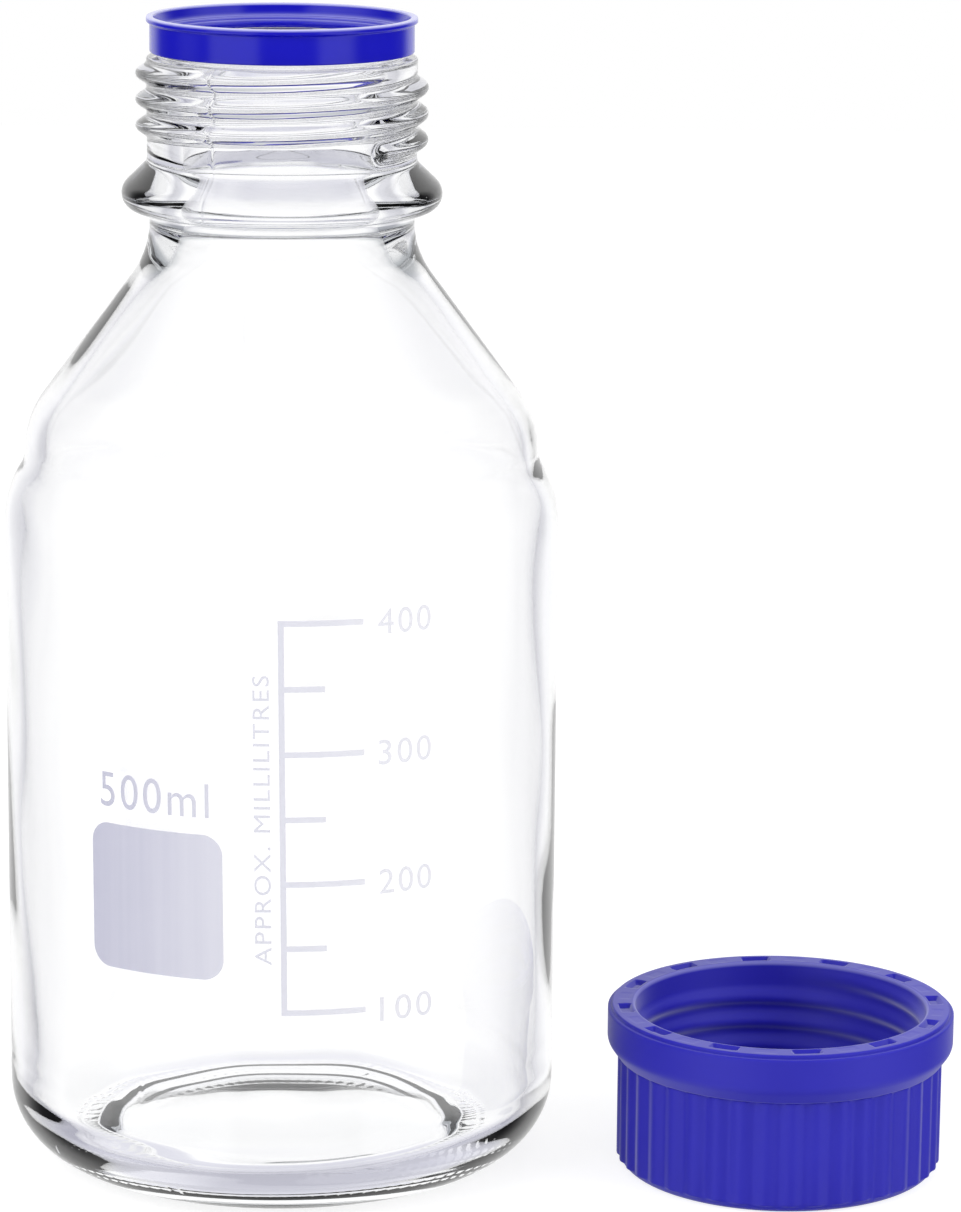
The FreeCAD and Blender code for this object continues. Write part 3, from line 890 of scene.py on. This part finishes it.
@dataclass
class ScrewCap:
    """The screw cap on its crown: ribbed wall, plain flange, recesses round the mouth, inner thread."""

    node: str = "screw_cap"
    wall_radius: float = 25.0
    crown_thickness: float = 2.6
    crown_round: float = 1.8
    dish_radius: float = 19.5
    dish_depth: float = 0.4
    mouth_radius: float = 22.85
    flange_radius: float = 27.15
    flange_foot: float = 18.0
    flange_edge: float = 20.2
    step_radius: float = 26.55
    step_height: float = 0.6
    seal_radius: float = 19.55
    seal_height: float = 2.0
    seal_width: float = 0.8
    thread: Thread = Thread(20.0, 7.4, turns=4.2, depth=1.0, half_width=1.7, run_out=(0.15, 0.2))
    rib_count: int = 40
    rib_height: float = 0.5
    rib_bluntness: float = 0.8
    rib_fade: float = 1.6
    recess_count: int = 12
    recess_angle: float = 5.0
    recess_length: float = 4.4
    recess_rows: tuple[float, float] = (23.65, 25.45)
    recess_edges: tuple[float, float] = (0.15, 0.2)
    recess_depth: float = 0.7
    dimple_depth: float = 0.04
    dimple_reach: tuple[float, float] = (1.2, 2.0)
    # The share of the painted highlight at the mouth's edge.
    lip_highlight: float = 0.35
    section_step: float = 0.25
    columns: int = 640

    def outline(self, top: float) -> list[tuple[float, ...]]:
        """Lists the corners of the section, from the crown's middle out, up and down into the mouth.

        Args:
            top: The height of the cap's mouth.

        Returns:
            A radius, a height and the radius of the rounding for each corner.
        """
        seal_foot, seal_top = self.crown_thickness, self.crown_thickness + self.seal_height
        return [
            (0.0, self.dish_depth), (self.dish_radius, self.dish_depth, 0.3),
            (self.dish_radius + self.dish_depth, 0.0, 0.3), (self.wall_radius, 0.0, self.crown_round),
            (self.wall_radius, self.flange_foot),
            (self.wall_radius + self.rib_height + 0.1, self.flange_foot + 0.05),
            (self.flange_radius, self.flange_edge, 2.2),
            (self.flange_radius, top - self.step_height, 0.2),
            (self.step_radius, top - self.step_height, 0.05),
            (self.step_radius, top, 0.25), (self.mouth_radius, top, 0.45),
            (self.mouth_radius, seal_foot, 0.4), (self.seal_radius, seal_foot, 0.3),
            (self.seal_radius, seal_top, 0.3), (self.seal_radius - self.seal_width, seal_top, 0.3),
            (self.seal_radius - 2.0 * self.seal_width, seal_foot, 0.3), (0.0, seal_foot),
        ]

    def thin_section(self, fine: np.ndarray, top: float) -> np.ndarray:
        """Drops points of the section where its form is plain.

        Args:
            fine: The finely divided section, as radius and height in rows.
            top: The height of the cap's mouth.

        Returns:
            The section with all its points on the face and the ledge under the flange, each 24th one
            on the crown and up the ribs, and each second one elsewhere.
        """
        radius, height = fine[:, 0], fine[:, 1]
        number = np.arange(len(fine))
        on_crown = radius < self.dish_radius - 1.5
        up_wall = (height > self.crown_round) & (height < self.flange_foot - 0.6)
        on_ribs = up_wall & (radius > self.wall_radius - 1.0)
        face = (np.abs(height - top) < 0.01) & (radius > self.mouth_radius)
        ledge = (np.abs(height - self.flange_foot) < 0.06) & (radius > self.wall_radius - 0.1)
        keep = np.where(on_crown | on_ribs, number % 24 == 0, face | ledge | (number % 2 == 0))
        keep[[0, -1]] = True
        return fine[keep]

    def ribs(self, height: np.ndarray, azimuth: np.ndarray) -> np.ndarray:
        """Works out the grip ribs: half a cosine wave round the wall, made blunter by a power under one.

        Args:
            height: The section's height, in rows.
            azimuth: The angle of each column, in radians.

        Returns:
            The ribs' height, by row and column.
        """
        wave = 0.5 + 0.5 * np.cos(self.rib_count * azimuth)
        fade_in = smooth_step(0.0, self.rib_fade, height)
        return self.rib_height * wave ** self.rib_bluntness * fade_in * (height < self.flange_foot + 0.01)

    def recesses(self, radius: np.ndarray, azimuth: np.ndarray) -> np.ndarray:
        """Works out the depth of the recesses in the face, and of the faint dimples between them.

        Each is a product of two soft-edged boxes, one across the face and one along it.

        Args:
            radius: The section's radius, in rows.
            azimuth: The angle of each column, in radians.

        Returns:
            The depth, by row and column.
        """
        spacing = FULL_TURN / self.recess_count
        inner, outer = self.recess_rows
        edge, end = self.recess_edges
        across = smooth_step(inner, inner + edge, radius) * (1.0 - smooth_step(outer - edge, outer, radius))
        turned = azimuth - math.radians(self.recess_angle)
        away = np.abs((turned + spacing / 2.0) % spacing - spacing / 2.0) * radius
        half = self.recess_length / 2.0
        between = np.abs(turned % spacing - spacing / 2.0) * radius
        recess = self.recess_depth * (1.0 - smooth_step(half - end, half, away))
        dimple = self.dimple_depth * (1.0 - smooth_step(*self.dimple_reach, between))
        return across * (recess + dimple)

    def build(self, material: bpy.types.Material) -> bpy.types.Object:
        """Makes the cap as one closed surface where its node stands.

        Args:
            material: The cap's plastic.

        Returns:
            The piece.
        """
        low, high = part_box(self.node)
        centre = ((low[0] + high[0]) / 2.0 / MM, (low[1] + high[1]) / 2.0 / MM)
        top = high[2] / MM
        section = self.thin_section(rounded_profile(self.outline(top), self.section_step), top)
        azimuth = even_columns(self.columns)
        radius, height = section[:, :1], section[:, 1:]
        outside = radius > self.wall_radius - 0.1
        inner_wall = np.abs(radius - self.mouth_radius) < 0.05
        on_face = np.abs(height - top) < 0.01
        thread = helix_bump(azimuth, height, self.mouth_radius, self.thread)
        turned_radius = radius + self.ribs(height, azimuth) * outside - thread * inner_wall
        turned_height = height - self.recesses(radius, azimuth) * on_face
        piece = turned_surface("blue_screw_cap", turned_radius, turned_height, azimuth, centre)
        mark_points(piece, "polish", on_face + 0.0 * turned_radius)
        # Painted highlight: a pale band at the mouth's inner edge stands in for light on it.
        lip = (height > top - 0.4) * (radius < self.mouth_radius + 0.4)
        mark_points(piece, "painted_edge_highlight", self.lip_highlight * lip + 0.0 * turned_radius)
        piece.visible_glossy = False
        dress(piece, material, Slot.CAP, self.node)
        return piece


@dataclass
class Print:
    """The fired print on the front: a volume scale, its numbers, a capacity mark and a label field."""

    glass_radius: float = 43.0
    lift: float = 0.12
    bar_step: float = 0.5
    capital_share: float = 0.729
    letter_spacing: float = 1.15
    scale_angle: float = -88.9
    scale_low: float = 34.5
    scale_high: float = 94.4
    lean: float = 0.0095
    line_width: float = 0.9
    long_mark: float = 12.4
    short_mark: float = 6.5
    number_start: float = 14.7
    number_width: float = 8.7
    number_height: float = 4.0
    caption_start: float = -1.85
    caption_low: float = 42.0
    caption_width: float = 44.5
    caption_height: float = 2.6
    capacity_start: float = -29.5
    capacity_low: float = 64.4
    capacity_width: float = 18.4
    capacity_height: float = 5.6
    field_angles: tuple[float, float] = (-130.5, -100.9)
    field_heights: tuple[float, float] = (39.3, 61.8)
    field_round: float = 3.2

    def bend(self, across: np.ndarray, height: np.ndarray, angle: float) -> np.ndarray:
        """Lays flat places on the glass: the arc from the angle is the distance across.

        The print was screened on with a slight lean, which moves its top to the left.

        Args:
            across: Distances to the right, in millimetres.
            height: Heights above the bench.
            angle: The azimuth of the line that they start from, in degrees.

        Returns:
            Points in rows.
        """
        radius = self.glass_radius + self.lift
        middle = (self.scale_low + self.scale_high) / 2.0
        turned = math.radians(angle) + (across - self.lean * (height - middle)) / radius
        return np.stack([radius * np.cos(turned), radius * np.sin(turned), height], axis=-1)

    def sheet(self, name: str, across: np.ndarray, height: np.ndarray, angle: float) -> bpy.types.Object:
        """Makes a sheet of a grid of flat places, bent to the glass.

        Args:
            name: The piece's name.
            across: The distance to the right, by row and column.
            height: The height above the bench, by row and column.
            angle: The azimuth that the distances start from, in degrees.

        Returns:
            The piece.
        """
        points = self.bend(across, height, angle).reshape(-1, 3)
        numbers = np.arange(height.size).reshape(height.shape)
        quads = np.stack([numbers[:-1, :-1], numbers[:-1, 1:], numbers[1:, 1:], numbers[1:, :-1]], axis=-1)
        return add_mesh(name, points, quads.reshape(-1, 4), np.empty((0, 3), int))

    def bar(self, name: str, left: float, right: float, low: float, high: float) -> bpy.types.Object:
        """Makes one printed line of the scale as a sheet between two heights.

        Args:
            name: The piece's name.
            left: Where it starts, right of the scale's line.
            right: Where it ends.
            low: The height of its lower edge.
            high: The height of its upper edge.

        Returns:
            The piece.
        """
        count = max(2, math.ceil((right - left) / self.bar_step) + 1)
        across, height = np.meshgrid(np.linspace(left, right, count), np.array([low, high]))
        return self.sheet(name, across, height, self.scale_angle)

    def field(self, name: str) -> bpy.types.Object:
        """Makes the label field: columns whose ends follow its rounded corners.

        At a distance d from the side of the field, a column ends round - sqrt(round² - (round - d)²)
        short of the field's straight edge, while d is less than the corner's round.

        Args:
            name: The piece's name.

        Returns:
            The piece.
        """
        width = math.radians(self.field_angles[1] - self.field_angles[0]) * self.glass_radius
        corner = self.field_round * (1.0 - np.cos(np.linspace(0.0, math.pi / 2.0, 14)))
        across = np.concatenate([corner, np.linspace(self.field_round, width - self.field_round, 40)[1:-1],
                                 (width - corner)[::-1]])
        side = np.minimum(across, width - across)
        inset = np.maximum(self.field_round - side, 0.0)
        short = self.field_round - np.sqrt(self.field_round ** 2 - inset ** 2)
        low, high = self.field_heights
        share = np.linspace(0.0, 1.0, 24)[:, None]
        height = (low + short) * (1.0 - share) + (high - short) * share
        return self.sheet(name, across + 0.0 * share, height, self.field_angles[0])

    def words(self, name: str, text: str, size: tuple[float, float], across: float, height: float,
              upright: bool = False) -> bpy.types.Object:
        """Makes lettering from Blender's own font, stretches it to its width and bends it to the glass.

        Args:
            name: The piece's name.
            text: The numbers or letters.
            size: How long the text is, and the height of a capital.
            across: Where the text starts, right of the scale's line.
            height: The height of its foot line.
            upright: If it reads upwards.

        Returns:
            The piece.
        """
        curve = bpy.data.curves.new(name, "FONT")
        curve.body = text
        curve.size = size[1] / self.capital_share
        curve.space_character = self.letter_spacing
        curve.resolution_u = 6
        flat = bpy.data.objects.new(name, curve)
        mesh = bpy.data.meshes.new_from_object(flat)
        bpy.data.objects.remove(flat)
        places = np.empty(3 * len(mesh.vertices), np.float32)
        mesh.vertices.foreach_get("co", places)
        places = places.reshape(-1, 3).astype(float)
        along = (places[:, 0] - places[:, 0].min()) * size[0] / np.ptp(places[:, 0])
        right, up = (-places[:, 1], along) if upright else (along, places[:, 1])
        points = self.bend(across + right, height + up, self.scale_angle)
        mesh.vertices.foreach_set("co", (points * MM).astype(np.float32).ravel())
        mesh.update()
        mesh.name = name
        piece = bpy.data.objects.new(name, mesh)
        bpy.context.scene.collection.objects.link(piece)
        return piece

    def build(self, material: bpy.types.Material) -> list[bpy.types.Object]:
        """Makes every printed mark and dresses it.

        Args:
            material: The enamel.

        Returns:
            The pieces.
        """
        half = self.line_width / 2.0
        step = (self.scale_high - self.scale_low) / 6.0
        marks = [self.bar("scale_line", -half, half, self.scale_low - half, self.scale_high + half)]
        for index in range(7):
            level = self.scale_low + index * step
            long = index % 2 == 0
            reach = self.long_mark if long else self.short_mark
            marks.append(self.bar(f"scale_mark_{index}", half, reach, level - half, level + half))
            if long:
                number = str(100 * (index // 2 + 1))
                marks.append(self.words(
                    f"scale_number_{number}", number, (self.number_width, self.number_height),
                    self.number_start, level - self.number_height / 2.0 - 0.1,
                ))
        marks.append(self.words(
            "scale_caption", "APPROX. MILLILITRES", (self.caption_width, self.caption_height),
            self.caption_start, self.caption_low, upright=True,
        ))
        marks.append(self.words(
            "capacity_mark", "500ml", (self.capacity_width, self.capacity_height),
            self.capacity_start, self.capacity_low,
        ))
        marks.append(self.field("label_field"))
        for mark in marks:
            dress(mark, material, Slot.PRINT)
        return marks


@dataclass
class Studio:
    """The pale floor, the soft light and the camera."""

    flags_start: tuple[float, float] = (-0.05, 0.4)
    camera_place: tuple[float, float, float] = (13.6, -750.0, 256.0)
    aim: tuple[float, float, float] = (30.98, 0.0, 87.56)
    roll: float = 0.515
    focal_pixels: float = 4918.0
    image_height: float = 1212.0
    sensor: float = 36.0
    soft_boxes: tuple[tuple[str, tuple[float, float, float], float, float], ...] = (
        ("key_soft_box", (-900.0, -700.0, 1100.0), 800.0, 9.0),
        ("fill_soft_box", (1100.0, -500.0, 800.0), 900.0, 6.0),
    )
    lit_place: tuple[float, float, float] = (30.0, 0.0, 90.0)
    floor_size: float = 2600.0
    floor_glow: float = 1.35
    floor_glow_share: float = 0.6
    room_light: float = 0.72
    glass_light: float = 1.14
    bounces: int = 64
    sky: tuple[tuple[float, str], ...] = (
        (-1.0, "#C0C0CC"), (-0.62, "#DCDCE6"), (-0.40, "#FFFFFF"), (0.24, "#FFFFFF"), (0.45, "#C4C7CA"),
        (0.57, "#B0B3B6"), (0.74, "#D8DADC"), (0.95, "#FFFFFF"),
    )
    sides: tuple[tuple[float, str], ...] = (
        (-0.92, "#FFFFFF"), (-0.78, "#DCDCE2"), (-0.6, "#D4D4DA"), (-0.42, "#F6F6F9"), (-0.3, "#FFFFFF"),
        (0.3, "#FFFFFF"), (0.42, "#F6F6F9"), (0.6, "#D4D4DA"), (0.78, "#DCDCE2"), (0.92, "#FFFFFF"),
    )
    flags: tuple[tuple[float, str], ...] = (
        (-1.0, "#404044"), (-0.8, "#606064"), (-0.55, "#FFFFFF"), (0.55, "#FFFFFF"), (0.8, "#606064"),
        (1.0, "#404044"),
    )
    panels: tuple[tuple[float, str], ...] = (
        (-1.0, "#A0A0A0"), (-0.93, "#606060"), (-0.86, "#FFFFFF"), (-0.40, "#FFFFFF"), (-0.26, "#606060"),
        (0.48, "#606060"), (0.60, "#FFFFFF"), (0.86, "#FFFFFF"), (0.95, "#606060"),
    )

    def camera(self) -> None:
        """Sets the camera at the photograph's view: lens = sensor * focal pixels / image height."""
        data = bpy.data.cameras.new("camera")
        data.sensor_width = self.sensor
        data.lens = self.sensor * self.focal_pixels / self.image_height
        data.clip_start, data.clip_end = 0.01, 100.0
        camera = bpy.data.objects.new("camera", data)
        place = Vector(self.camera_place) * MM
        turned = (Vector(self.aim) * MM - place).to_track_quat("-Z", "Y")
        camera.location = place
        camera.rotation_euler = (turned @ Quaternion((0.0, 0.0, 1.0), math.radians(self.roll))).to_euler()
        bpy.context.scene.collection.objects.link(camera)
        bpy.context.scene.camera = camera

    def ramp(self, tree: bpy.types.NodeTree, share: bpy.types.NodeSocket,
             stops: tuple[tuple[float, str], ...]) -> bpy.types.NodeSocket:
        """Adds a ramp of soft steps over a part of the view's direction, which runs from -1 to 1.

        Args:
            tree: The world's nodes.
            share: The direction's part.
            stops: A place and a colour for each step.

        Returns:
            The ramp's colour.
        """
        position = add_node(tree, "ShaderNodeMath", {0: share, 1: 0.5, 2: 0.5}, operation="MULTIPLY_ADD")
        moved = tuple((0.5 + 0.5 * place, colour) for place, colour in stops)
        return add_ramp(tree, position.outputs["Value"], moved, "EASE")

    def world(self) -> None:
        """Sets the surround, which depends on how a ray comes to it.

        The camera sees white. Through the glass there is a white surround with a greyer band high up,
        a cooler one low down and one at each side, which draw the glass's lines. What a surface
        mirrors is a dim room with soft panels in front of the object, and dark flags behind it.
        """
        world = bpy.data.worlds.new("studio")
        bpy.context.scene.world = world
        world.use_nodes = True
        tree = world.node_tree
        tree.nodes.clear()
        white = linear("#FFFFFF")
        light = add_node(tree, "ShaderNodeLightPath")
        place = add_node(tree, "ShaderNodeTexCoord")
        split = add_node(tree, "ShaderNodeSeparateXYZ", {"Vector": place.outputs["Generated"]})
        sky = self.ramp(tree, split.outputs["Z"], self.sky)
        sides, panels, flags = (self.ramp(tree, split.outputs["X"], stops)
                                for stops in (self.sides, self.panels, self.flags))
        seen_through = mix_colours(tree, 1.0, sky, sides, "MULTIPLY")
        behind = add_node(tree, "ShaderNodeMapRange", {
            "Value": split.outputs["Y"], "From Min": self.flags_start[0], "From Max": self.flags_start[1],
        }, interpolation_type="SMOOTHSTEP")
        mirrored = mix_colours(tree, behind.outputs["Result"], panels, flags)
        room = add_node(tree, "ShaderNodeBackground", {"Color": white, "Strength": self.room_light})
        surround = room.outputs[0]
        for seen, colour, strength in (
            ("Is Glossy Ray", mirrored, 1.0), ("Is Transmission Ray", seen_through, self.glass_light),
            ("Is Camera Ray", white, 1.0),
        ):
            layer = add_node(tree, "ShaderNodeBackground", {"Color": colour, "Strength": strength})
            surround = add_node(tree, "ShaderNodeMixShader", {
                0: light.outputs[seen], 1: surround, 2: layer.outputs[0],
            }).outputs[0]
        add_node(tree, "ShaderNodeOutputWorld", {"Surface": surround})

    def floor(self) -> None:
        """Lays a pale floor that shows white to the eye and keeps the object's shadow."""
        half = self.floor_size / 2.0
        points = np.array([(-half, -half, 0.0), (half, -half, 0.0), (half, half, 0.0), (-half, half, 0.0)])
        floor = add_mesh("floor", points, np.array([[0, 1, 2, 3]]), np.empty((0, 3), int))
        material, tree = start_material("pale_floor")
        light = add_node(tree, "ShaderNodeLightPath")
        share = add_node(tree, "ShaderNodeMath", {
            0: light.outputs["Is Camera Ray"], 1: self.floor_glow_share,
        }, operation="MULTIPLY")
        matt = add_node(tree, "ShaderNodeBsdfDiffuse", {"Color": linear("#F2F2F2")})
        glow = add_node(tree, "ShaderNodeEmission", {"Color": linear("#FFFFFF"), "Strength": self.floor_glow})
        mix = add_node(tree, "ShaderNodeMixShader", {
            0: share.outputs[0], 1: matt.outputs[0], 2: glow.outputs[0],
        })
        add_node(tree, "ShaderNodeOutputMaterial", {"Surface": mix.outputs[0]})
        floor.data.materials.append(material)
        floor.visible_transmission = False
        floor.visible_glossy = False

    def lamp(self, name: str, place: tuple[float, float, float], size: float, power: float) -> None:
        """Hangs one square soft box that faces the middle of the object and has no sharp reflection.

        Args:
            name: The lamp's name.
            place: Where it hangs.
            size: The length of its side.
            power: Its power, in watts.
        """
        data = bpy.data.lights.new(name, "AREA")
        data.shape, data.size, data.energy = "SQUARE", size * MM, power
        lamp = bpy.data.objects.new(name, data)
        lamp.location = Vector(place) * MM
        towards = Vector(self.lit_place) * MM - lamp.location
        lamp.rotation_euler = towards.to_track_quat("-Z", "Y").to_euler()
        lamp.visible_glossy = False
        lamp.visible_transmission = False
        bpy.context.scene.collection.objects.link(lamp)

    def build(self) -> None:
        """Sets the view, the surround, the floor, the lamps and the camera."""
        scene = bpy.context.scene
        scene.view_settings.view_transform = "Standard"
        scene.cycles.max_bounces = self.bounces
        scene.cycles.transmission_bounces = self.bounces
        scene.cycles.transparent_max_bounces = 16
        self.world()
        self.floor()
        for name, place, size, power in self.soft_boxes:
            self.lamp(name, place, size, power)
        self.camera()


def main() -> None:
    """Builds and dresses each piece, sets the studio, and reports each piece."""
    logging.basicConfig(level=logging.INFO, format="%(message)s")
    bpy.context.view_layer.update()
    glass = BorosilicateGlass().build()
    enamel = FiredEnamel().build()
    ring_plastic = MouldedPolypropylene(
        "glossy_polypropylene", colour="#0E0CBE", deep_colour="#0A08AE", roughness=0.18, skin_height=0.004,
        milkiness=0.06).build()
    cap_plastic = MouldedPolypropylene(
        "satin_polypropylene", colour="#2A26B8", deep_colour="#2420AC", roughness=0.46, skin_height=0.02,
        specular=0.42).build()
    pieces = [
        GlassBottle().build(glass), PouringRing().build(ring_plastic), ScrewCap().build(cap_plastic),
        *Print().build(enamel),
    ]
    for piece in pieces:
        LOG.info("%s: %d faces, %s", piece.name, len(piece.data.polygons), piece.data.materials[0].name)
    Studio().build()


if __name__ == "__main__":
    main()
